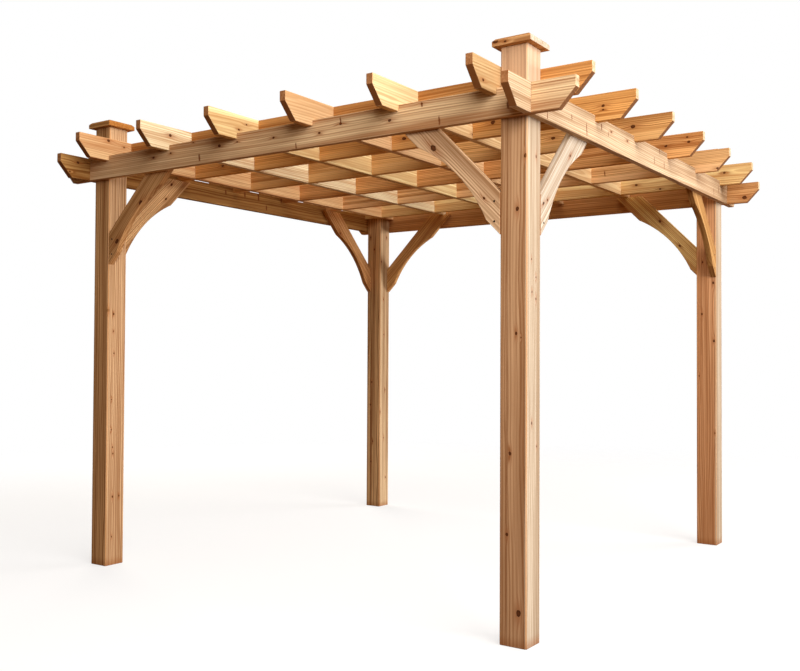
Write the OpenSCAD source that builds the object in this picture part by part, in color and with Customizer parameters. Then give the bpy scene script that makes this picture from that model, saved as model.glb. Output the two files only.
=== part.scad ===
// Wooden pergola: an open frame of four posts with caps, four outer beams,
// a lapped grid of rafters and eight curved knee braces. Millimetres, Z up.
// The front is at -Y, the right side at +X, and the posts stand on Z = 0.

/* [Frame] */
// Width over the outer faces of the posts, along the front
span_x = 3060; // [2600:10:4200]
// Depth over the outer faces of the posts, along the sides
span_y = 3060; // [2600:10:4200]
// Height of the underside of the outer beams above the ground
beam_z = 2420; // [1900:10:3000]

/* [Posts and caps] */
// Side of each square post
post_w = 140; // [90:1:190]
// Height of the post tops above the top edges of the rafters
post_rise = 87; // [10:1:200]
// Reach of each cap past the faces of its post
cap_over = 30; // [5:1:60]
// Thickness of each cap
cap_h = 38; // [24:1:60]
// Width of the bevel round the top of each cap
cap_bevel = 13; // [2:1:20]

/* [Boards] */
// Thickness of the beams, rafters and braces
board_t = 38; // [25:1:60]
// Depth of the beams and rafters and width of the braces
board_w = 140; // [115:1:200]
// Depth of the seats in the beams that the rafters rest in
seat = 32; // [8:1:45]
// Length of the tails past the outer faces of the beams
overhang = 217; // [130:1:350]
// Height of the upright nose at the end of each tail
tail_nose = 52; // [20:1:90]
// Length of the slope under each tail
tail_run = 82; // [30:1:120]

/* [Braces] */
// Drop from the beams' underside to the foot of each brace
brace_drop = 535; // [400:5:700]
// Distance from each end of a brace to the start of its curve
brace_nib = 75; // [40:1:120]
// Depth of the curve cut into the lower edge of each brace
brace_sag = 48; // [15:1:60]

/* [Hidden] */
$fn = 180;
half_x = span_x / 2;
half_y = span_y / 2;
rafter_z = beam_z + board_w - seat;
post_h = rafter_z + board_w + post_rise;
long_x = span_x + 2 * board_t + 2 * overhang;
long_y = span_y + 2 * board_t + 2 * overhang;
cap_w = post_w + 2 * cap_over;
edge_x = half_x - post_w - board_t / 2;
edge_y = half_y - post_w - board_t / 2;
lap_x = half_x + board_t / 2;
lap_y = half_y + board_t / 2;
foot_z = beam_z - brace_drop;
brace_rise = rafter_z - foot_z;
brace_high = board_w * sqrt(2);
chord_half = (brace_drop / 2 - brace_nib) * sqrt(2);
curve_r = (chord_half * chord_half + brace_sag * brace_sag) / (2 * brace_sag);
curve_off = (curve_r - brace_sag) / sqrt(2);

// Place of rafter i of six, in order from the left or the front
function place_x(i) = edge_x * (2 * i - 7) / 5;
function place_y(i) = edge_y * (2 * i - 7) / 5;

// A board along X with an upright nose and a slope under the tail at each end
module tail_board(long)
  rotate([90, 0, 0])
    translate([0, 0, -board_t / 2])
      linear_extrude(board_t)
        polygon([[-long / 2, board_w], [-long / 2, board_w - tail_nose],
                 [tail_run - long / 2, 0], [long / 2 - tail_run, 0],
                 [long / 2, board_w - tail_nose], [long / 2, board_w]]);

// A slot one board wide across a board along X, from height low upwards
module slot(at, low)
  translate([at - board_t / 2, -board_t, low])
    cube([board_t, 2 * board_t, board_w]);

// A beam along X with lap slots at its ends and six seats in its top edge
module seated_beam(long, lap, edge, lap_low)
  difference() {
    tail_board(long);
    slot(-lap, lap_low);
    slot(lap, lap_low);
    for (i = [1:6])
      slot(edge * (2 * i - 7) / 5, board_w - seat);
  }

// A rafter along X with six lap slots from height low upwards
module lapped_rafter(long, edge, low)
  difference() {
    tail_board(long);
    for (i = [1:6])
      slot(edge * (2 * i - 7) / 5, low);
  }

// Turns a board along X into one along Y
module along_y()
  rotate([0, 0, 90])
    children();

// Moves the front left corner's piece to another corner, 1 for right or back
module corner(right, back)
  scale([1 - 2 * right, 1 - 2 * back, 1])
    children();

module post()
  color("peru")
    translate([-half_x, -half_y, 0])
      cube([post_w, post_w, post_h]);

// One direction of the cap's outline, bevelled along two of its top edges
module cap_bar()
  rotate([90, 0, 0])
    translate([0, 0, -cap_w / 2])
      linear_extrude(cap_w)
        polygon([[-cap_w / 2, 0], [cap_w / 2, 0], [cap_w / 2, cap_h - cap_bevel],
                 [cap_w / 2 - cap_bevel, cap_h], [cap_bevel - cap_w / 2, cap_h],
                 [-cap_w / 2, cap_h - cap_bevel]]);

module cap()
  color("burlywood")
    translate([post_w / 2 - half_x, post_w / 2 - half_y, post_h])
      intersection() {
        cap_bar();
        along_y() cap_bar();
      }

// A brace leaving a post along +X, with its foot at X = 0 and its face at Y = 0
module brace()
  color("sandybrown")
    rotate([90, 0, 0])
      translate([0, foot_z, -board_t])
        linear_extrude(board_t)
          difference() {
            polygon([[0, 0], [brace_rise, brace_rise],
                     [brace_rise - brace_high, brace_rise], [0, brace_high]]);
            translate([brace_drop / 2 + curve_off, brace_drop / 2 - curve_off])
              circle(r = curve_r);
          }

module brace_x()
  translate([post_w - half_x, -half_y, 0])
    brace();

module brace_y()
  translate([-half_x, post_w - half_y, 0])
    mirror([1, -1, 0])
      brace();

module post_front_left() corner(0, 0) post();
module post_front_right() corner(1, 0) post();
module post_back_left() corner(0, 1) post();
module post_back_right() corner(1, 1) post();

module cap_front_left() corner(0, 0) cap();
module cap_front_right() corner(1, 0) cap();
module cap_back_left() corner(0, 1) cap();
module cap_back_right() corner(1, 1) cap();

module beam_along_x(side)
  color("tan")
    translate([0, side * lap_y, beam_z])
      seated_beam(long_x, lap_x, edge_x, board_w / 2);

module beam_along_y(side)
  color("tan")
    translate([side * lap_x, 0, beam_z])
      along_y() seated_beam(long_y, lap_y, edge_y, -board_w / 2);

module beam_front() beam_along_x(-1);
module beam_back() beam_along_x(1);
module beam_left() beam_along_y(-1);
module beam_right() beam_along_y(1);

module rafter(i)
  color("tan")
    translate([place_x(i), 0, rafter_z])
      along_y() lapped_rafter(long_y, edge_y, board_w / 2);

module cross(i)
  color("burlywood")
    translate([0, place_y(i), rafter_z])
      lapped_rafter(long_x, edge_x, -board_w / 2);

module rafter_1() rafter(1);
module rafter_2() rafter(2);
module rafter_3() rafter(3);
module rafter_4() rafter(4);
module rafter_5() rafter(5);
module rafter_6() rafter(6);

module cross_1() cross(1);
module cross_2() cross(2);
module cross_3() cross(3);
module cross_4() cross(4);
module cross_5() cross(5);
module cross_6() cross(6);

module brace_front_left_x() corner(0, 0) brace_x();
module brace_front_right_x() corner(1, 0) brace_x();
module brace_back_left_x() corner(0, 1) brace_x();
module brace_back_right_x() corner(1, 1) brace_x();
module brace_front_left_y() corner(0, 0) brace_y();
module brace_front_right_y() corner(1, 0) brace_y();
module brace_back_left_y() corner(0, 1) brace_y();
module brace_back_right_y() corner(1, 1) brace_y();

post_front_left();
post_front_right();
post_back_left();
post_back_right();
cap_front_left();
cap_front_right();
cap_back_left();
cap_back_right();
beam_front();
beam_back();
beam_left();
beam_right();
rafter_1();
rafter_2();
rafter_3();
rafter_4();
rafter_5();
rafter_6();
cross_1();
cross_2();
cross_3();
cross_4();
cross_5();
cross_6();
brace_front_left_x();
brace_front_right_x();
brace_back_left_x();
brace_back_right_x();
brace_front_left_y();
brace_front_right_y();
brace_back_left_y();
brace_back_right_y();
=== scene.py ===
import math
from types import SimpleNamespace

import bpy
import numpy as np
from mathutils import Matrix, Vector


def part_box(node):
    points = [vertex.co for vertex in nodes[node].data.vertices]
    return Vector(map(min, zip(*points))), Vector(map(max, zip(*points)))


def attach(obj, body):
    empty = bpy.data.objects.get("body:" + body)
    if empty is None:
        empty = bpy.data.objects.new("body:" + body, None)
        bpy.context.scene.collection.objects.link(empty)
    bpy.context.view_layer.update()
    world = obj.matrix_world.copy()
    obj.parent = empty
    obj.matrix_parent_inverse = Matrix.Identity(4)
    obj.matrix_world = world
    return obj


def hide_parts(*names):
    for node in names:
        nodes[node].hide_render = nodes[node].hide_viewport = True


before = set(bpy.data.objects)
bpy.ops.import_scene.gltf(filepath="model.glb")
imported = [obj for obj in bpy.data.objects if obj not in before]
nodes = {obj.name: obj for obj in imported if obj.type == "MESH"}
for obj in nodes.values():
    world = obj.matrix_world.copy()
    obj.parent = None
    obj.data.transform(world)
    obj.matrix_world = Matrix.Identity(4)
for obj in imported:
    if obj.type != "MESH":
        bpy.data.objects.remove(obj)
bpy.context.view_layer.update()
print("frame loaded,", len(nodes), "nodes")

# Camera: stands off the front right corner, a little below eye height
cameraSet = {
    "place": (3.510, -5.425, 1.325),
    "heading": 34.51,  # degrees from +Y towards -X
    "pitch": 1.18,
    "roll": 0.28,
    "lensPixels": 955.7,  # focal length in pixels of the picture
    "pictureWidth": 800,
    "clipEnd": 100,
}


def unit(v):
    v = np.asarray(v, float)
    return v / np.linalg.norm(v)


def addObject(name, data):
    obj = bpy.data.objects.new(name, data)
    bpy.context.scene.collection.objects.link(obj)
    return obj


def standing(side, up, back, place):  # matrix of an object with these axes at this place
    return Matrix([[side[i], up[i], back[i], place[i]] for i in range(3)] + [[0, 0, 0, 1]])


def makeCamera(s):
    heading, pitch, roll = (math.radians(s[k]) for k in ("heading", "pitch", "roll"))
    level = math.cos(pitch)
    ahead = np.array([-math.sin(heading) * level, math.cos(heading) * level, math.sin(pitch)])
    side = unit(np.cross(ahead, (0, 0, 1)))
    up = np.cross(side, ahead)
    rolledSide = side * math.cos(roll) + up * math.sin(roll)
    rolledUp = up * math.cos(roll) - side * math.sin(roll)
    data = bpy.data.cameras.new("photoCamera")
    data.lens = data.sensor_width * s["lensPixels"] / s["pictureWidth"]
    data.clip_end = s["clipEnd"]
    cam = addObject("photoCamera", data)
    cam.matrix_world = standing(rolledSide, rolledUp, -ahead, s["place"])
    bpy.context.scene.camera = cam


makeCamera(cameraSet)
print("camera placed")


class Flow:  # one value in a shader: an expression on values adds its Math nodes
    def __init__(self, tree, out):
        self.tree = tree
        self.out = out

    def add(self, kind, settings, values, pick=0):
        return addNode(self.tree, kind, settings, values, pick)

    def of(self, name):  # another output of the same node
        return Flow(self.tree, self.out.node.outputs[name])

    def math(self, operation, *others):
        return self.add("ShaderNodeMath", {"operation": operation}, dict(enumerate((self,) + others)))

    def mathFrom(self, operation, first):  # the same, with this value second
        return self.add("ShaderNodeMath", {"operation": operation}, {0: first, 1: self})

    def __add__(self, other):
        return self.math("ADD", other)

    def __radd__(self, other):
        return self.math("ADD", other)

    def __sub__(self, other):
        return self.math("SUBTRACT", other)

    def __rsub__(self, other):
        return self.mathFrom("SUBTRACT", other)

    def __mul__(self, other):
        return self.math("MULTIPLY", other)

    def __rmul__(self, other):
        return self.math("MULTIPLY", other)

    def __truediv__(self, other):
        return self.math("DIVIDE", other)

    def __rtruediv__(self, other):
        return self.mathFrom("DIVIDE", other)

    def __pow__(self, other):
        return self.math("POWER", other)

    def __rpow__(self, other):
        return self.mathFrom("POWER", other)

    def __abs__(self):
        return self.math("ABSOLUTE")

    def __gt__(self, other):
        return self.math("GREATER_THAN", other)

    def __lt__(self, other):
        return self.math("LESS_THAN", other)

    def step(self, low, high):  # smooth 0 to 1 from low to high, or 1 to 0 where high is the smaller
        ends = (1.0, 0.0) if high < low else (0.0, 1.0)
        values = {0: self, 1: min(low, high), 2: max(low, high), 3: ends[0], 4: ends[1]}
        return self.add("ShaderNodeMapRange", {"interpolation_type": "SMOOTHSTEP"}, values)


def addNode(tree, kind, settings, values, pick=0):
    node = tree.nodes.new(kind)
    for key, value in settings.items():
        setattr(node, key, value)
    for key, value in values.items():
        if isinstance(value, Flow):
            tree.links.new(value.out, node.inputs[key])
        else:
            node.inputs[key].default_value = value
    return Flow(tree, node.outputs[pick]) if node.outputs else None


def newTree(name):
    material = bpy.data.materials.new(name)
    material.use_nodes = True
    material.node_tree.nodes.clear()
    return material, material.node_tree


def mixColour(part, a, b):
    return part.add("ShaderNodeMix", {"data_type": "RGBA"}, {0: part, 6: a, 7: b}, 2)


def scaleColour(colour, by):
    return colour.add("ShaderNodeVectorMath", {"operation": "SCALE"}, {0: colour, "Scale": by})


def dotWith(vector, direction):
    values = {0: vector, 1: tuple(float(v) for v in direction)}
    return vector.add("ShaderNodeVectorMath", {"operation": "DOT_PRODUCT"}, values, "Value")


def noiseAt(x, y, z, detail=2.0, rough=0.5):
    spot = x.add("ShaderNodeCombineXYZ", {}, {0: x, 1: y, 2: z})
    values = {"Vector": spot, "Scale": 1.0, "Detail": detail, "Roughness": rough}
    return x.add("ShaderNodeTexNoise", {}, values)


whitest = 0.94  # no paint reflects more


def paint(rgb, gain=(1, 1, 1)):  # screen colour 0 to 255 as a linear colour, by the sRGB curve
    c = np.asarray(rgb, float) / 255
    c = np.where(c <= 0.04045, c / 12.92, ((c + 0.055) / 1.055) ** 2.4) * np.asarray(gain)
    return tuple(float(v) for v in np.minimum(c, whitest)) + (1.0,)


# Wood: rings round a pith line beside the board, pale and dark bands that follow them, and knots
# with flames of dark grain. Lengths are in metres
woodSet = {
    "shift": (2, 40),  # range of a board's own start in the noise
    "pithAcross": 0.10,  # furthest chance pith line to either side of the board's middle
    "pithThrough": (0.03, 0.07),  # its range before or behind that middle
    "endTurn": (0.45, 0.75),  # how squarely a face looks along the board to count as an end
    "edgeTurn": 0.72,
    "flatTurn": 0.6,
    "relief": {"fibre": 0.35, "streak": 0.30, "late": 0.40, "rim": 0.9},  # heights in the bump
    "bump": {"Strength": 0.45, "Distance": 0.0012},
    "rough": {"base": 0.86, "late": 0.10, "patch": 0.16, "core": 0.16},
    "shine": 0.02,
}
tintSet = {  # shares of a board's tone in red, green and blue
    "sap": (1.30, 1.40, 1.50),  # palest bands
    "heart": (0.62, 0.51, 0.41),  # darkest bands
    "late": (0.54, 0.40, 0.28),  # dark line at a ring's edge
    "sapwood": (1.28, 1.50, 1.80),  # outer wood of a log
}
noiseSet = {  # waves per metre along and across the board, detail, roughness, order of the shifts
    "uneven": (70.0, 90.0, 2.0, 0.5, "cab"),
    "wander": (0.7, 1.6, 1.0, 0.5, "abc"),
    "stray": (0.9, 1.6, 1.0, 0.5, "cab"),
    "ripple": (3.0, 40.0, 2.0, 0.5, "bca"),
    "streak": (0.8, 70.0, 3.0, 0.65, "cab"),
    "fibre": (9.0, 420.0, 2.0, 0.6, "bca"),
    "patch": (1.3, 7.0, 2.0, 0.5, "acb"),
}
layerSet = {  # a post is glued up from layers, each with its own grain
    "cuts": (-0.032, 0.0600),  # edges of the layers, from the post's middle
    "skip": (5.3, 0.037),  # from one layer's grain to the next, along and through
    "seamFade": (0.0016, 0.0005),
    "seamDeep": 1.5,
    "glue": (112, 60, 28),
    "glueShare": 0.45,
    "arrisFrom": (0.0605, 0.0665),  # long arrises, painted paler as a highlight
    "arrisHighlightTone": (214, 152, 94),
    "arrisHighlightShare": 0.6,
    "litTopRise": (1.14, 1.24),  # start and end of the painted lit top, from the post's middle
    "litTopShare": 0.4,
    "footRise": (0.060, 0.0),  # darker orange-brown band above the foot
    "footTone": (140, 78, 34),
    "footShare": 0.5,
}


def placeOn(tree, node, board, seed, layered):  # a point's place on its board, and the way its face looks
    s = woodSet
    rng = np.random.default_rng(seed)
    shifts = [float(v) for v in rng.uniform(*s["shift"], 3)]
    pithAcross = float(rng.uniform(-s["pithAcross"], s["pithAcross"]))
    pithThrough = float(rng.choice([-1, 1]) * rng.uniform(*s["pithThrough"]))
    low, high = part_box(node)
    middle = tuple((low + high) / 2)
    spot = addNode(tree, "ShaderNodeTexCoord", {}, {}, "Object")
    spot = spot.add("ShaderNodeVectorMath", {"operation": "SUBTRACT"}, {0: spot, 1: middle})

    at = SimpleNamespace(shift=dict(zip("abc", shifts)), tall=float(high.z - low.z))
    at.pith = board.get("pith", (pithAcross, pithThrough))
    at.axes = [unit(v) for v in board["run"]]
    at.rawAlong, at.across, at.rawThrough = (dotWith(spot, axis) for axis in at.axes)
    at.facing = addNode(tree, "ShaderNodeNewGeometry", {}, {}, "Normal")
    at.endOn = abs(dotWith(at.facing, at.axes[0])).step(*s["endTurn"])
    at.edgeOn = abs(dotWith(at.facing, at.axes[1])) > s["edgeTurn"]
    at.along, at.through = at.rawAlong, at.rawThrough
    if layered:
        first, second = layerSet["cuts"]
        at.layer = (at.across > first) + (at.across > second)
        at.along = at.rawAlong + at.layer * layerSet["skip"][0]
        at.through = at.rawThrough + at.layer * layerSet["skip"][1]
    at.uneven = grainNoise("uneven", at, at.rawAlong, at.rawThrough)
    return at


def grainNoise(kind, at, along, through):
    waves, crossWaves, detail, rough, order = noiseSet[kind]
    x, y, z = (at.shift[k] for k in order)
    return noiseAt(along * waves + x, at.across * crossWaves + y, through * crossWaves + z, detail, rough)


# Knots: listed ones where they are seen, and chance ones on a board with none listed
knotStyle = {
    "core": (84, 42, 18),
    "rim": (44, 20, 9),
    "flame": (150, 84, 40),
    "cover": {"flame": 0.60, "core": 0.92, "rim": 0.85},
    "cell": (0.31, 0.155),  # spacing of the chance knots along and across
    "scatter": 0.9,
    "share": 0.22,  # part of the cells that hold a knot
    "least": 0.0034,  # smallest chance knot's radius
    "spread": 0.006,  # what chance adds to it
    "long": 1.35,  # a knot's length over its width
    "flameLong": (5.5, 1.7),  # reach of its dark grain, in knot sizes along and across
    "ragged": (0.8, 0.6),
    "coreFade": (1.15, 0.75),  # in knot sizes
    "rimFade": (0.45, 0.95),
    "edgeShift": 7.0,  # keeps the knots of a board's edges apart from those of its faces
    "farOff": 50.0,  # knot sizes, past any knot's reach
}


def nearest(spot, places):  # least distance to any of the places, in units of each one's size
    least = knotStyle["farOff"]
    for place, size in places:
        away = spot.add("ShaderNodeVectorMath", {"operation": "DISTANCE"}, {0: spot, 1: place}, "Value")
        least = (away / size).math("MINIMUM", least)
    return least


def knotMasks(at, board):  # by distance in units of the nearest knot's radius: round for core, long for flame
    s = knotStyle
    faceAcross = at.across + at.edgeOn * (at.rawThrough - at.across + s["edgeShift"])
    cellLong, cellWide = s["cell"]
    cellAlong = at.along / cellLong + at.shift["a"]
    cellAcross = faceAcross / cellWide + at.shift["b"]
    spot = cellAlong.add("ShaderNodeCombineXYZ", {}, {0: cellAlong, 1: cellAcross})
    cell = spot.add("ShaderNodeTexVoronoi", {"voronoi_dimensions": "2D"},
                    {"Vector": spot, "Scale": 1.0, "Randomness": s["scatter"]})
    middle = cell.add("ShaderNodeSeparateXYZ", {}, {0: cell.of("Position")})
    luck = cell.add("ShaderNodeSeparateColor", {}, {0: cell.of("Color")})
    missing = (luck > (0.0 if "knots" in board else s["share"])) * s["farOff"]
    offAlong = (cellAlong - middle) * cellLong
    offAcross = (cellAcross - middle.of("Y")) * cellWide
    size = luck.of("Green") ** 2.0 * s["spread"] + s["least"]
    away = []
    for longer, wider in ((s["long"], 1.0), s["flameLong"]):
        listed = [((along / longer, (across + onEdge * s["edgeShift"]) / wider, 0), radius)
                  for along, across, radius, onEdge in board.get("knots", ())]
        plane = spot.add("ShaderNodeCombineXYZ", {}, {0: at.rawAlong / longer, 1: faceAcross / wider})
        chance = ((offAlong / longer) ** 2.0 + (offAcross / wider) ** 2.0) ** 0.5 / size + missing
        away.append(chance.math("MINIMUM", nearest(plane, listed)) + at.endOn * s["farOff"])
    core = (away[0] * (at.uneven * s["ragged"][0] + s["ragged"][1])).step(*s["coreFade"])
    rim = core * away[0].step(*s["rimFade"])
    flame = (away[1] ** 2.0 * -1.0).math("EXPONENT")
    return {"flame": flame, "core": core, "rim": rim}


# Rings: distance from a pith line that wanders along the board, bulged by each knot
ringStyle = {
    "width": 0.0105,
    "wander": (0.06, 0.05),  # how far the pith line strays, across and through
    "bulge": 0.010,
    "ripple": 0.8,  # in ring widths
    "lateRise": (0.30, 0.75),  # a ring's dark line, in shares of the ring
    "lateFall": (1.0, 0.90),
    "lateChance": (0.85, 0.2),  # what chance makes of it, and its least
    "bandWaves": (26.0, 0.30),  # per metre out from the pith and along the board
    "bandRow": 0.5,
    "bandFade": (0.36, 0.64),
    "streakFade": (0.40, 0.60),
}


def ringMasks(at, flame):
    s = ringStyle
    wander, stray, ripple, streak, fibre, patch = (
        grainNoise(kind, at, at.along, at.through)
        for kind in ("wander", "stray", "ripple", "streak", "fibre", "patch"))
    offAcross = at.across - at.pith[0] + (wander - 0.5) * s["wander"][0]
    offThrough = at.through - at.pith[1] + (stray - 0.5) * s["wander"][1]
    grain = SimpleNamespace(fibre=fibre, patch=patch, streak=streak.step(*s["streakFade"]))
    grain.out = (offAcross ** 2.0 + offThrough ** 2.0) ** 0.5 + flame * s["bulge"]
    turn = grain.out / s["width"] + ripple * s["ripple"]
    phase = turn.math("FRACT")
    number = turn.math("FLOOR") + at.shift["a"]
    grain.year = turn.add("ShaderNodeTexWhiteNoise", {"noise_dimensions": "1D"}, {"W": number})
    chance = grain.year * s["lateChance"][0] + s["lateChance"][1]
    grain.late = phase.step(*s["lateRise"]) * phase.step(*s["lateFall"]) * chance
    bandOut = grain.out * s["bandWaves"][0] + at.shift["b"]
    bandAlong = at.along * s["bandWaves"][1] + at.shift["a"]
    grain.band = noiseAt(bandOut, bandAlong, s["bandRow"], 1.0).step(*s["bandFade"])
    return grain


# Tones: pale and dark grain mixed by the masks, with sapwood past a distance from the pith
toneStyle = {
    "bands": 0.36,  # shares of each mask in the mix of dark and pale
    "streak": 0.34,
    "patch": 0.16,
    "bandsAndYear": 0.5,
    "late": 0.80,
    "sapFade": 0.006,
    "sapShare": 0.8,
    "sapCalm": 0.6,  # how far sapwood hides the dark lines
    "light": 0.99,
    "fibreLight": 0.22,
    "patchLight": 0.20,
}


def grainColour(at, board, grain, layered):
    s = toneStyle
    gains = [np.power(tintSet[k], board.get("grain", 1.0)) for k in ("sap", "heart", "late")]
    tones = [paint(board["tone"], gain) for gain in gains]
    if layered:
        # the outermost layer, on the +X side towards the key lamp, takes the paler outer tone: a real glued
        # layer, and partly painted light on that lit side
        outerLayerAndLitSide = at.layer > 1.5
        tones = [mixColour(outerLayerAndLitSide, tone, paint(board["outer"], gain)) for tone, gain in zip(tones, gains)]
    pale, dark, line = tones
    bands = board.get("bands", s["bands"])
    part = grain.band * bands + grain.streak * s["streak"] + grain.patch * s["patch"]
    colour = mixColour(part + grain.year * (s["bandsAndYear"] - bands), dark, pale)
    if "sapFrom" in board:
        sapwood = grain.out.step(board["sapFrom"], board["sapFrom"] + s["sapFade"])
        colour = mixColour(sapwood * s["sapShare"], colour, paint(board["tone"], tintSet["sapwood"]))
        grain.late = grain.late * (1.0 - sapwood * s["sapCalm"])
    colour = mixColour(grain.late * s["late"], colour, line)
    light = s["light"] + (grain.fibre - 0.5) * s["fibreLight"] + (grain.patch - 0.5) * s["patchLight"]
    return scaleColour(colour, light)


# slope: darker tone for end faces under the tails that face down, partly end grain and partly painted shade
endStyle = {"tone": (180, 126, 82), "slope": (124, 74, 36), "slopeShare": 0.9, "slopeTurn": 0.3}


def sawnEnd(at, board, grain):
    s = endStyle
    tone = board.get("end", s["tone"])
    sawn = mixColour(grain.year * 0.5 + grain.streak * 0.5, paint(tone), paint(tone, tintSet["heart"]))
    under = dotWith(at.facing, (0, 0, 1)) + s["slopeTurn"] < 0.0  # slope under a tail, facing down: sawn end grain, darkened further as painted shade
    return mixColour(under * s["slopeShare"], sawn, paint(s["slope"]))


# Slips of the saw: upright, a little ragged and leaning, on the flat faces of a board
slipStyle = {
    "tone": (112, 58, 28),
    "share": 0.88,
    "deep": 1.5,
    "ragged": (0.007, 0.016),  # along and across
    "lean": 0.10,
    "tallFade": (0.60, 0.25),  # in heights of the slip
    "wideFade": (1.7, 0.5),  # in half widths
}


def sawSlips(at, marks):
    s = slipStyle
    flatOn = abs(dotWith(at.facing, at.axes[2])) > woodSet["flatTurn"]
    ragged = at.uneven - 0.5
    slip = 0.0
    for along, across, halfWide, tall in marks:
        offAcross = at.across - across
        upright = abs(offAcross + ragged * s["ragged"][1]).step(*(tall * v for v in s["tallFade"]))
        offAlong = at.rawAlong - along + offAcross * s["lean"] + ragged * s["ragged"][0]
        slip = (abs(offAlong).step(*(halfWide * v for v in s["wideFade"])) * upright).math("MAXIMUM", slip)
    return slip * flatOn


def postMarksAndPaintedLight(at, board, colour, height):  # glue seams, a painted highlight on the long arrises, a painted lit top and a darker band at the foot
    s = layerSet
    for cut in s["cuts"]:
        seam = abs(at.across - cut).step(*s["seamFade"]) * (1.0 - at.endOn)
        colour = mixColour(seam * s["glueShare"], colour, paint(s["glue"]))
        height = height - seam * s["seamDeep"]
    # painted highlight: the rounded long arrises made paler, standing in for the light they catch
    arrisHighlightMask = abs(at.across).step(*s["arrisFrom"]) * abs(at.rawThrough).step(*s["arrisFrom"])
    colour = mixColour(arrisHighlightMask * s["arrisHighlightShare"], colour, paint(s["arrisHighlightTone"]))
    if "paleTop" in board:
        # painted light: the post's top, above the roof, made paler as where it is lit
        top = at.rawAlong.step(*s["litTopRise"])
        colour = mixColour(top * s["litTopShare"], colour, paint(board["paleTop"]))
    # darker and more orange-brown towards the foot, over the lowest 6 cm
    footBand = (at.rawAlong + at.tall / 2).step(*s["footRise"])
    return mixColour(footBand * s["footShare"], colour, paint(s["footTone"])), height


def woodFinish(name, node, board, seed, layered):
    s = woodSet
    material, tree = newTree(name)
    at = placeOn(tree, node, board, seed, layered)
    knots = knotMasks(at, board)
    grain = ringMasks(at, knots["flame"])
    colour = grainColour(at, board, grain, layered)
    colour = mixColour(at.endOn, colour, sawnEnd(at, board, grain))
    for kind, mask in knots.items():
        colour = mixColour(mask * knotStyle["cover"][kind], colour, paint(knotStyle[kind]))
    relief = s["relief"]
    height = grain.fibre * relief["fibre"] + grain.streak * relief["streak"]
    height = height - grain.late * relief["late"] - knots["rim"] * relief["rim"]
    if "marks" in board:
        slip = sawSlips(at, board["marks"])
        colour = mixColour(slip * slipStyle["share"], colour, paint(slipStyle["tone"]))
        height = height - slip * slipStyle["deep"]
    if layered:
        colour, height = postMarksAndPaintedLight(at, board, colour, height)
    rough = s["rough"]["base"] - grain.late * s["rough"]["late"]
    rough = rough + (grain.patch - 0.5) * s["rough"]["patch"] - knots["core"] * s["rough"]["core"]
    bump = height.add("ShaderNodeBump", {}, {**s["bump"], "Height": height})
    values = {"Base Color": colour, "Roughness": rough, "Normal": bump, "Specular IOR Level": s["shine"]}
    shader = colour.add("ShaderNodeBsdfPrincipled", {}, values)
    addNode(tree, "ShaderNodeOutputMaterial", {}, {"Surface": shader})
    return material


# Boards: which way each runs (along, across, through) and its tone
runX = ((1, 0, 0), (0, 0, 1), (0, 1, 0))
runY = ((0, 1, 0), (0, 0, 1), (1, 0, 0))
runPost = ((0, 0, 1), (1, 0, 0), (0, 1, 0))
runCap = ((1, 0, 0), (0, 1, 0), (0, 0, 1))
paleEnd = (214, 192, 158)
boardSet = {
    # outer: tone of a post's outermost layer on its +X side, paler partly as painted light from the key side
    "post_front_left": {"run": runPost, "tone": (195, 145, 95), "outer": (190, 150, 110),
                        "pith": (0.25, 0.28)},
    # this post's top is paled as painted light
    "post_front_right": {"run": runPost, "tone": (190, 145, 105), "outer": (185, 165, 140),
                         "pith": (0.28, 0.30), "paleTop": (220, 180, 145)},
    "post_back_left": {"run": runPost, "tone": (200, 150, 100), "outer": (185, 150, 110),
                       "pith": (0.24, 0.30)},
    "post_back_right": {"run": runPost, "tone": (205, 150, 105), "outer": (180, 160, 135),
                        "pith": (0.26, 0.26)},
    "beam_front": {"run": runX, "tone": (225, 175, 130), "end": paleEnd, "pith": (0.2, 0.03)},
    "beam_back": {"run": runX, "tone": (195, 145, 95), "end": paleEnd},
    "beam_left": {"run": runY, "tone": (175, 130, 75)},
    # beam_right: pale tone, partly painted light on its lit outer side
    "beam_right": {"run": runY, "tone": (200, 170, 135), "pith": (-0.2, 0.04)},
}
# Tones of the rest: caps and braces in the order of the corners, rafters from the left or the front
# Some tones also hold painted light: boards seen mostly on lit faces, such as the rafters, got paler tones
# than boards seen in shade, such as the cross rafters; the back right X brace and the near right cap's end
# are paled too
toneSet = {
    "cap": ((190, 140, 85), (195, 145, 95), (200, 145, 90), (200, 140, 85)),
    "capEnd": ((180, 120, 60), (200, 185, 165), (200, 150, 95), (200, 150, 95)),
    "braceX": ((190, 140, 90), (205, 165, 125), (225, 165, 105), (240, 185, 120)),
    "braceY": ((205, 160, 110), (195, 180, 160), (215, 155, 100), (180, 135, 80)),
    "rafter": ((235, 180, 130), (240, 205, 165), (240, 200, 145), (215, 175, 130), (240, 200, 150),
               (190, 155, 110)),
    "cross": ((200, 140, 80), (210, 150, 85), (205, 150, 90), (220, 155, 95), (220, 165, 110),
              (240, 190, 130)),
}
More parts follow.
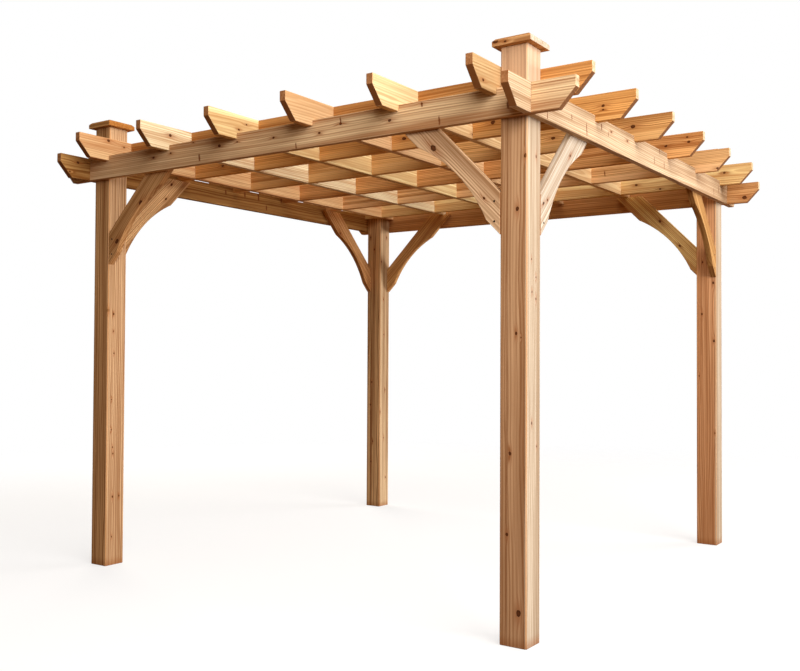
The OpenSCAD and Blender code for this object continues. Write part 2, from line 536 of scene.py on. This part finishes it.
# Knots seen on a board: along and across from its middle, radius, and 1 on an edge; in metres
knotSet = {
    "beam_back": ((1.69, -0.035, 0.012, 0), (1.31, -0.03, 0.008, 0)),
    "beam_front": ((-0.94, 0.01, 0.007, 0), (-0.79, 0.02, 0.0055, 0), (-0.6, 0.06, 0.004, 0),
                   (-0.39, 0.015, 0.008, 0), (-0.25, 0.02, 0.005, 0), (0.02, 0.01, 0.006, 0),
                   (0.34, -0.005, 0.006, 0), (0.48, 0.025, 0.007, 0), (0.79, 0.0, 0.007, 0),
                   (0.98, 0.055, 0.005, 0)),
    "beam_left": ((-1.66, 0.03, 0.007, 0), (-1.72, -0.035, 0.005, 0)),
    "beam_right": ((-0.63, 0.025, 0.005, 0), (-0.4, 0.02, 0.005, 0)),
    "cap_front_right": ((-0.08, 0.005, 0.011, 1), (-0.03, -0.005, 0.005, 1)),
    "brace_back_left_y": ((0.19, 0.02, 0.008, 0),),
    "brace_back_right_x": ((0.07, 0.1, 0.008, 0), (-0.17, 0.07, 0.007, 0)),
    "brace_front_left_x": ((0.01, 0.05, 0.012, 0), (-0.3, 0.045, 0.013, 0)),
    "brace_front_left_y": ((0.19, 0.06, 0.007, 0), (0.3, 0.1, 0.008, 0)),
    "brace_front_right_x": ((0.12, 0.055, 0.013, 0), (-0.27, 0.065, 0.006, 0)),
    "brace_front_right_y": ((0.08, 0.075, 0.006, 0), (-0.28, 0.075, 0.005, 0), (-0.33, 0.09, 0.005, 0)),
    "cross_2": ((-1.09, -0.01, 0.007, 0), (0.38, -0.01, 0.01, 0), (0.97, 0.005, 0.01, 0),
                (1.61, 0.005, 0.007, 0), (1.61, -0.015, 0.005, 0)),
    "cross_3": ((1.56, 0.015, 0.01, 0), (1.07, 0.01, 0.009, 0)),
    "cross_4": ((1.56, 0.005, 0.007, 0), (1.7, 0.015, 0.007, 0), (1.69, 0.045, 0.005, 0)),
    "cross_5": ((1.71, -0.055, 0.006, 0),),
    "cross_6": ((1.6, 0.015, 0.007, 0), (0.96, -0.01, 0.008, 0), (1.14, -0.055, 0.006, 0)),
    "post_back_left": ((0.99, -0.035, 0.005, 0), (0.99, 0.025, 0.005, 1), (0.88, 0.005, 0.006, 0),
                       (0.77, -0.055, 0.006, 1), (0.44, -0.02, 0.005, 1), (0.13, -0.01, 0.006, 1),
                       (-0.29, -0.015, 0.006, 0), (-0.36, 0.01, 0.005, 1), (-0.49, -0.03, 0.006, 0),
                       (-0.55, -0.06, 0.005, 1), (-0.81, -0.005, 0.005, 0), (-0.78, -0.01, 0.005, 1),
                       (-0.99, -0.02, 0.006, 0), (-1.13, 0.025, 0.005, 1)),
    "post_back_right": ((0.62, -0.025, 0.005, 0), (0.47, 0.05, 0.007, 0), (0.25, -0.03, 0.006, 0),
                        (0.06, 0.055, 0.007, 0), (-0.19, -0.05, 0.004, 0), (-0.59, 0.06, 0.004, 0)),
    "post_front_left": ((0.22, 0.065, 0.006, 0), (0.22, -0.065, 0.006, 1), (0.2, -0.025, 0.005, 1),
                        (0.09, -0.025, 0.004, 1), (-0.05, -0.02, 0.004, 1), (-0.34, -0.035, 0.0035, 1),
                        (-0.53, -0.035, 0.004, 1), (-0.64, -0.025, 0.004, 1), (-0.68, -0.02, 0.0045, 1),
                        (-0.95, -0.02, 0.0055, 1), (-0.95, 0.03, 0.0045, 1), (-1.2, -0.025, 0.004, 1)),
    "post_front_right": ((0.62, 0.02, 0.008, 0), (0.86, 0.06, 0.007, 0), (0.05, 0.015, 0.006, 0),
                         (0.03, 0.04, 0.003, 0), (-0.5, -0.015, 0.007, 0), (-0.87, -0.03, 0.006, 0),
                         (-1.22, 0.03, 0.011, 0), (0.87, 0.02, 0.005, 1), (0.39, -0.025, 0.0035, 1),
                         (0.31, 0.02, 0.004, 1), (0.24, -0.02, 0.004, 1), (0.21, 0.02, 0.005, 1),
                         (-0.36, -0.02, 0.005, 1), (-0.47, 0.03, 0.004, 1)),
    "rafter_1": ((-1.45, 0.035, 0.005, 0), (-1.57, 0.055, 0.008, 0)),
    "rafter_2": ((-1.56, 0.02, 0.008, 0),),
    "rafter_3": ((-1.49, 0.025, 0.005, 0), (-1.55, -0.015, 0.006, 0)),
    "rafter_5": ((-0.84, -0.045, 0.005, 0),),
}
# Slips of the saw: along and across from the board's middle, half width, height; in metres
markSet = {
    "beam_front": ((-0.55, -0.035, 0.006, 0.044), (0.18, -0.055, 0.004, 0.036), (0.48, 0.04, 0.004, 0.04),
                   (1.08, -0.04, 0.004, 0.046), (1.45, -0.02, 0.005, 0.04), (0.98, 0.05, 0.004, 0.024)),
    "beam_left": ((-0.37, 0.03, 0.006, 0.04), (-0.17, 0.045, 0.007, 0.06), (-0.02, 0.04, 0.007, 0.06),
                  (0.07, -0.03, 0.006, 0.04), (0.24, 0.05, 0.007, 0.05)),
    "beam_right": ((-1.4, -0.05, 0.004, 0.036), (-1.13, 0.0, 0.004, 0.03), (-0.95, -0.025, 0.004, 0.07),
                   (-0.76, 0.025, 0.005, 0.04), (-0.67, 0.005, 0.003, 0.03), (0.03, -0.015, 0.004, 0.044),
                   (0.12, 0.06, 0.004, 0.046), (0.2, -0.015, 0.004, 0.05), (1.21, -0.03, 0.004, 0.06),
                   (1.32, 0.005, 0.004, 0.06)),
    "cross_5": ((0.94, -0.01, 0.004, 0.04),),
}
# Contrast of a board's grain: 1 as in tintSet, more for a lively board, less for a plain one
grainSet = {
    "beam_front": 1.45, "beam_left": 1.4, "beam_right": 1.2,
    "brace_back_left_x": 1.5, "brace_back_left_y": 1.6, "brace_back_right_x": 1.3,
    "brace_front_left_y": 1.5, "brace_front_right_x": 1.3,
    "cross_3": 1.4, "cross_4": 1.3, "cross_5": 1.3,
    "post_back_left": 2.0, "post_front_left": 1.35,
    "rafter_1": 1.2, "rafter_4": 0.6, "rafter_5": 0.7, "rafter_6": 0.65,
}
# Boards sawn through the sapwood: their pith line and the distance from it where the sapwood starts
sapSet = {
    "cross_2": {"pith": (0.15, 0.02), "sapFrom": 0.192},
    "cross_3": {"pith": (0.15, 0.02), "sapFrom": 0.168},
    "cross_5": {"pith": (0.16, -0.02), "sapFrom": 0.180},
}
crossBands = 0.5
corners = ("front_left", "front_right", "back_left", "back_right")
for i, corner in enumerate(corners):
    inX = 1 if "left" in corner else -1  # the way a brace leads, in from its post
    inY = 1 if "front" in corner else -1
    runBraceX = ((inX, 0, 1), (-inX, 0, 1), (0, 1, 0))
    runBraceY = ((0, inY, 1), (0, -inY, 1), (1, 0, 0))
    boardSet["cap_" + corner] = {"run": runCap, "tone": toneSet["cap"][i], "end": toneSet["capEnd"][i]}
    boardSet["brace_%s_x" % corner] = {"run": runBraceX, "tone": toneSet["braceX"][i]}
    boardSet["brace_%s_y" % corner] = {"run": runBraceY, "tone": toneSet["braceY"][i]}
for i, tone in enumerate(toneSet["rafter"], 1):
    boardSet["rafter_%d" % i] = {"run": runY, "tone": tone}
for i, tone in enumerate(toneSet["cross"], 1):
    boardSet["cross_%d" % i] = {"run": runX, "tone": tone, "end": paleEnd, "bands": crossBands}
for node, given in sapSet.items():
    boardSet[node].update(given)
for key, given in (("knots", knotSet), ("marks", markSet), ("grain", grainSet)):
    for node, value in given.items():
        boardSet[node][key] = value

# Arrises of the boards: width of the easing for each kind, and how it is cut
easeSet = {"cap": 0.0025, "beam": 0.0025, "rafter": 0.0022, "cross": 0.0022, "brace": 0.0025}
easeCut = {"join": 1e-5, "flatAngle": 1.0, "segments": 2, "sharpAngle": 30}  # metres, degrees


def easeArrises(obj, width, s):  # joins the loose triangles into whole faces, then rounds their edges
    weld = obj.modifiers.new("join", "WELD")
    weld.merge_threshold = s["join"]
    flat = obj.modifiers.new("wholeFaces", "DECIMATE")
    flat.decimate_type = "DISSOLVE"
    flat.angle_limit = math.radians(s["flatAngle"])
    ease = obj.modifiers.new("ease", "BEVEL")
    ease.width = width
    ease.segments = s["segments"]
    ease.limit_method = "ANGLE"
    ease.angle_limit = math.radians(s["sharpAngle"])


def ringFaces(rings, count):  # quads between closed rings of count points each
    i, j = np.meshgrid(np.arange(rings - 1), np.arange(count), indexing="ij")
    k = (j + 1) % count
    quads = (i * count + j, (i + 1) * count + j, (i + 1) * count + k, i * count + k)
    return np.stack(quads, -1).reshape(-1, 4)


def addMesh(name, points, faces):
    mesh = bpy.data.meshes.new(name)
    mesh.from_pydata(points.reshape(-1, 3).tolist(), [], faces)
    return addObject(name, mesh)


# Posts: long arrises rounded, ends cut square with a slight ease
postSet = {"round": 0.010, "steps": 8, "endEase": 0.0015}


def makePost(node, s):
    # a square with rounded corners, carried up the post: corner middle plus radius times (cos a, sin a)
    low, high = (np.array(v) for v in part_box(node))
    quarter = np.arange(4).repeat(s["steps"])
    angle = (quarter + np.tile(np.linspace(0, 1, s["steps"]), 4)) * np.pi / 2
    diagonal = (quarter + 0.5) * np.pi / 2
    sign = np.sign(np.stack([np.cos(diagonal), np.sin(diagonal)], 1))
    circle = np.stack([np.cos(angle), np.sin(angle)], 1)
    inset = np.array([s["endEase"], 0, 0, s["endEase"]])
    level = np.array([low[2], low[2] + s["endEase"], high[2] - s["endEase"], high[2]])
    cornerMiddle = sign * ((high - low)[:2] / 2 - s["round"])
    ring = cornerMiddle[None] + circle[None] * (s["round"] - inset)[:, None, None]
    rings, count = ring.shape[:2]
    heights = np.broadcast_to(level[:, None, None], (rings, count, 1))
    points = np.concatenate([ring + (low + high)[:2] / 2, heights], -1)
    sides = ringFaces(rings, count)[:, [0, 3, 2, 1]]  # turned to look outwards
    foot = list(range(count))[::-1]
    top = list(range((rings - 1) * count, rings * count))
    obj = addMesh(node + "Eased", points, sides.tolist() + [foot, top])
    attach(obj, "root")
    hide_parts(node)
    return obj


firstSeed = 100
for number, (node, board) in enumerate(sorted(boardSet.items())):
    kind = node.split("_")[0]
    isPost = kind == "post"
    finish = woodFinish("wood_" + node, node, board, firstSeed + number, isPost)
    obj = makePost(node, postSet) if isPost else nodes[node]
    obj.data.materials.clear()
    obj.data.materials.append(finish)
    if not isPost:
        easeArrises(obj, easeSet[kind], easeCut)
print("boards finished,", len(boardSet))


# Screws: a lobed drive recess in a shallow dome, two heads in the foot of each brace
screwSet = {
    "radius": 0.0052,
    "profile": ((0.0, 0.0002), (0.42, 0.0002), (0.46, 0.0013), (0.8, 0.0012), (0.97, 0.0009), (1.0, -0.0004)),
    "recess": 0.5,  # share of the radius that is lobed
    "lobe": 0.12,
    "lobes": 6,
    "around": 24,
    "inset": 0.030,  # from the post's inner face
    "rise": (0.064, 0.158),  # above the brace's lowest point
    "colour": (32, 22, 15),
    "wornGain": (1.7, 1.5, 1.3),
    "wornWaves": 300.0,
    "wornFade": (0.35, 0.7),
    "rough": (0.55, 0.3),  # least, and what wear adds
    "shine": 0.1,
}
askew = (0.3, 0.5, 0.81)  # any direction that no head faces


def screwFinish(s):
    material, tree = newTree("screwBronze")
    spot = addNode(tree, "ShaderNodeTexCoord", {}, {}, "Object")
    axes = spot.add("ShaderNodeSeparateXYZ", {}, {0: spot})
    worn = noiseAt(*(axes.of(k) * s["wornWaves"] for k in "XYZ"), 3.0, 0.6)
    bare, arrisHighlightMask = paint(s["colour"]), paint(s["colour"], s["wornGain"])
    values = {
        "Base Color": mixColour(worn.step(*s["wornFade"]), bare, arrisHighlightMask),
        "Roughness": s["rough"][0] + worn * s["rough"][1],
        "Specular IOR Level": s["shine"],
    }
    shader = addNode(tree, "ShaderNodeBsdfPrincipled", {}, values)
    addNode(tree, "ShaderNodeOutputMaterial", {}, {"Surface": shader})
    return material


def screwHeads(name, places, outward, finish, s):
    # every head at once: ring radius times (1 + lobe cos 6a) in the recess, height along the outward normal
    share, lift = np.array(s["profile"]).T
    angle = np.linspace(0, 2 * np.pi, s["around"], endpoint=False)
    lobed = (share < s["recess"])[:, None] * s["lobe"] * np.cos(s["lobes"] * angle)
    radius = share[:, None] * s["radius"] * (1 + lobed)
    outward = unit(outward)
    sideA = unit(np.cross(outward, askew))
    sideB = np.cross(outward, sideA)
    head = (radius * np.cos(angle))[..., None] * sideA + (radius * np.sin(angle))[..., None] * sideB
    head = head + lift[:, None, None] * outward
    rings, count = head.shape[:2]
    points = np.asarray(places)[:, None, None, :] + head
    first = np.arange(len(places)) * rings * count
    faces = (ringFaces(rings, count)[None] + first[:, None, None]).reshape(-1, 4)
    obj = addMesh(name, points, faces.tolist())
    obj.data.materials.append(finish)
    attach(obj, "root")


screwWear = screwFinish(screwSet)
postLow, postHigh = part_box("post_front_left")
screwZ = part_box("brace_front_left_x")[0].z + np.array(screwSet["rise"])
outer = np.full(len(screwZ), -postLow.x)  # the posts' outer faces, from the middle
inner = np.full(len(screwZ), -postHigh.x - screwSet["inset"])
for sideX in (-1, 1):
    for sideY in (-1, 1):
        tag = ("Left", "Right")[sideX > 0] + ("Front", "Back")[sideY > 0]
        places = np.stack([sideX * inner, sideY * outer, screwZ], 1)
        screwHeads("screws" + tag + "X", places, (0, sideY, 0), screwWear, screwSet)
        places = np.stack([sideX * outer, sideY * inner, screwZ], 1)
        screwHeads("screws" + tag + "Y", places, (sideX, 0, 0), screwWear, screwSet)
print("screws set")


# Studio: white world behind, a wide key from the right, a softbox behind the right side, a pale floor
lightSet = {
    "key": {"place": (9.5, -3.5, 6.5), "aim": (0, 0, 1.8), "size": (8.5, 8.5),
            "power": 1560, "colour": (1.0, 1.0, 1.0)},
    "near": {"place": (3.2, -4.8, 3.2), "aim": (1.5, -1.5, 2.4), "size": (1.5, 1.5),
             "power": 106, "colour": (1.0, 1.0, 0.98)},
    "sheen": {"place": (7.5, 9.5, 2.5), "aim": (0.6, 0, 1.6), "size": (7.0, 4.5),
              "power": 1600, "colour": (1.0, 1.0, 1.02)},
    "top": {"place": (1.0, -1.0, 8.0), "aim": (0.5, 0, 2.5), "size": (4.0, 4.0),
            "power": 150, "colour": (1.0, 0.86, 0.68)},
    "rear": {"place": (-8.0, 4.5, 4.5), "aim": (0, 0, 1.6), "size": (6.0, 4.0),
             "power": 620, "colour": (1.0, 0.93, 0.84)},
}
white = (1, 1, 1, 1)
worldSet = {"seen": 1.0, "fill": 0.08, "fillColour": (1.0, 0.60, 0.33, 1.0)}
floorSet = {
    "radius": 9.0,
    "rings": 24,
    "around": 96,
    "widen": 1.5,  # power that widens the rings outwards
    "level": -0.0005,  # just under the posts' feet
    "white": 0.62,
    "glow": 1.06,
    "fade": (3.6, 8.5),
    "shown": (0.82, 0.81, 0.80, 1.0),  # as the camera sees it
    "bounce": (0.145, 0.062, 0.016, 1.0),  # as it lights the wood
}


def makeSoftbox(name, s):
    data = bpy.data.lights.new(name, "AREA")
    data.shape = "RECTANGLE"
    data.size, data.size_y = s["size"]
    data.energy = s["power"]
    data.color = s["colour"]
    lamp = addObject(name, data)
    back = unit(np.subtract(s["place"], s["aim"]))
    side = unit(np.cross((0, 0, 1), back))
    lamp.matrix_world = standing(side, np.cross(back, side), back, s["place"])


def seenRay(tree):  # 1 where a camera, glossy or transmission ray looks
    ray = addNode(tree, "ShaderNodeLightPath", {}, {}, "Is Camera Ray")
    return (ray + ray.of("Is Glossy Ray") + ray.of("Is Transmission Ray")).math("MINIMUM", 1.0)


def makeWorld(s):
    world = bpy.data.worlds.new("studio")
    bpy.context.scene.world = world
    world.use_nodes = True
    tree = world.node_tree
    tree.nodes.clear()
    shown = addNode(tree, "ShaderNodeBackground", {}, {"Color": white, "Strength": s["seen"]})
    fill = addNode(tree, "ShaderNodeBackground", {}, {"Color": s["fillColour"], "Strength": s["fill"]})
    both = addNode(tree, "ShaderNodeMixShader", {}, {0: seenRay(tree), 1: fill, 2: shown})
    addNode(tree, "ShaderNodeOutputWorld", {}, {"Surface": both})


def floorFinish(s):
    material, tree = newTree("paleFloor")
    spot = addNode(tree, "ShaderNodeTexCoord", {}, {}, "Object")
    away = spot.add("ShaderNodeVectorMath", {"operation": "LENGTH"}, {0: spot}, "Value")
    seen = seenRay(tree)
    matt = addNode(tree, "ShaderNodeBsdfDiffuse", {}, {"Color": mixColour(seen, s["bounce"], s["shown"])})
    glow = addNode(tree, "ShaderNodeEmission", {}, {"Color": white, "Strength": s["glow"]})
    clear = addNode(tree, "ShaderNodeBsdfTransparent", {}, {})
    lit = addNode(tree, "ShaderNodeMixShader", {}, {0: seen * s["white"], 1: matt, 2: glow})
    edge = addNode(tree, "ShaderNodeMixShader", {}, {0: away.step(*s["fade"]) * seen, 1: lit, 2: clear})
    addNode(tree, "ShaderNodeOutputMaterial", {}, {"Surface": edge})
    return material


def makeFloor(s):
    # disc: radius times (cos a, sin a) on rings that widen outwards
    ring = np.linspace(0, 1, s["rings"])[:, None] ** s["widen"] * s["radius"]
    angle = np.linspace(0, 2 * np.pi, s["around"], endpoint=False)
    level = np.full((s["rings"], s["around"]), s["level"])
    points = np.stack([ring * np.cos(angle), ring * np.sin(angle), level], -1)
    floor = addMesh("floor", points, ringFaces(s["rings"], s["around"]).tolist())
    floor.data.materials.append(floorFinish(s))


makeWorld(worldSet)
for name, lamp in lightSet.items():
    makeSoftbox(name, lamp)
makeFloor(floorSet)
bpy.context.scene.view_settings.view_transform = "Standard"
print("studio lit")
